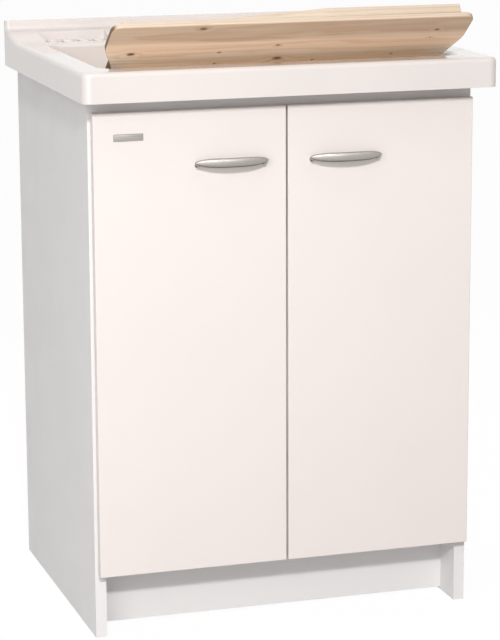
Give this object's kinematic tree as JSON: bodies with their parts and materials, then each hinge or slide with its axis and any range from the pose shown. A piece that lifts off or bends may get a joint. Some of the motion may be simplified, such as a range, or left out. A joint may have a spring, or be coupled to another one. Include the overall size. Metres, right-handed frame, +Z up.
{
  "type": "laundry sink cabinet",
  "caption": "White two-door floor cabinet carrying a deep moulded laundry tub with a raised back, bow handles and a slanted wooden washboard that lifts out.",
  "frame": {"origin": "on the floor, under the middle of the whole object's box", "axes": "+Z up, +Y towards the wall behind, +X to the right of someone facing the doors"},
  "size_m": [0.6, 0.51, 0.8885],
  "materials": {
    "tub_white": "glossy white",
    "door_white": "smooth white foil on chipboard",
    "carcass_white": "matt white foil on chipboard",
    "pine": "bare knotty pine",
    "beech": "bare beech",
    "satin_nickel": "satin",
    "hinge_steel": "plated",
    "zinc": "zinc plated",
    "chrome": "polished",
    "rubber_grey": "matt",
    "bumper": "soft",
    "trap_white": "matt white"
  },
  "bodies": {
    "cabinet": {"bottom_panel": "carcass_white", "door_bumpers": "bumper", "drain_flange": "chrome", "front_top_rail": "carcass_white", "kickboard": "carcass_white", "left_dowels": "beech", "left_lower_hinge_arm": "hinge_steel", "left_lower_hinge_plate": "hinge_steel", "left_plate_screws": "zinc", "left_side_panel": "carcass_white", "left_upper_hinge_arm": "hinge_steel", "left_upper_hinge_plate": "hinge_steel", "outlet_pipe": "trap_white", "rear_bottom_rail": "carcass_white", "rear_top_rail": "carcass_white", "right_dowels": "beech", "right_lower_hinge_arm": "hinge_steel", "right_lower_hinge_plate": "hinge_steel", "right_plate_screws": "zinc", "right_side_panel": "carcass_white", "right_upper_hinge_arm": "hinge_steel", "right_upper_hinge_plate": "hinge_steel", "trap_body": "trap_white", "trap_cup": "trap_white", "trap_inlet_nut": "trap_white", "trap_outlet_nut": "trap_white", "trap_ring": "trap_white", "washtub": "tub_white", "waste_nut": "trap_white", "waste_seal": "rubber_grey"},
    "left_door": {"left_cup_screws": "zinc", "left_door_panel": "door_white", "left_handle": "satin_nickel", "left_handle_screws": "zinc", "left_lower_hinge_cup": "hinge_steel", "left_lower_hinge_pin": "hinge_steel", "left_upper_hinge_cup": "hinge_steel", "left_upper_hinge_pin": "hinge_steel", "nameplate": "satin_nickel"},
    "right_door": {"right_cup_screws": "zinc", "right_door_panel": "door_white", "right_handle": "satin_nickel", "right_handle_screws": "zinc", "right_lower_hinge_cup": "hinge_steel", "right_lower_hinge_pin": "hinge_steel", "right_upper_hinge_cup": "hinge_steel", "right_upper_hinge_pin": "hinge_steel"},
    "washboard": {"washboard_head": "pine", "washboard_panel": "pine", "washboard_rest": "pine"},
    "stopper": {"drain_stopper": "rubber_grey"}
  },
  "joints": [
    {"name": "left_door_hinge", "type": "hinge", "parent": "cabinet", "child": "left_door", "pos_m": [-0.268, -0.1997, 0.35], "axis": [0, 0, -1], "range_deg": [0, 100]},
    {"name": "right_door_hinge", "type": "hinge", "parent": "cabinet", "child": "right_door", "pos_m": [0.268, -0.1997, 0.35], "axis": [0, 0, 1], "range_deg": [0, 100]},
    {"name": "washboard_lift", "type": "slide", "parent": "cabinet", "child": "washboard", "axis": [0, 0, 1], "range_m": [0, 0.25]},
    {"name": "stopper_lift", "type": "slide", "parent": "cabinet", "child": "stopper", "axis": [0, 0, 1], "range_m": [0, 0.03]}
  ]
}
